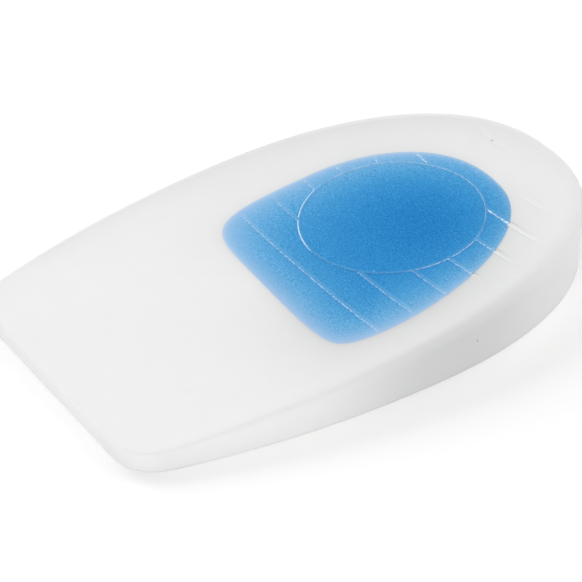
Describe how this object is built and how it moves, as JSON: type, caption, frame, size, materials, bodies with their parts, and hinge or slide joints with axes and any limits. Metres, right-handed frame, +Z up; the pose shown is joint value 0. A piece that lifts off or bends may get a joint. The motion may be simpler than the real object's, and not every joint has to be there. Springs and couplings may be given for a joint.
{
  "type": "silicone heel pad",
  "caption": "Cupped silicone heel wedge with a soft oval-marked inlay under the heel bone, thin at its straight front edge and thick at its round heel.",
  "frame": {"origin": "centre of the pad's outline, on the flat base that rests in the shoe", "axes": "+Z up through the pad, +Y from the thin front edge to the round heel, X across"},
  "size_m": [0.0604, 0.1, 0.0124],
  "materials": {
    "white_silicone": "smooth translucent white silicone, satin",
    "blue_silicone": "smooth translucent blue silicone, satin, paler at its thin edge"
  },
  "bodies": {
    "root": {"pad_body": "white_silicone", "soft_insert": "blue_silicone"}
  },
  "joints": []
}
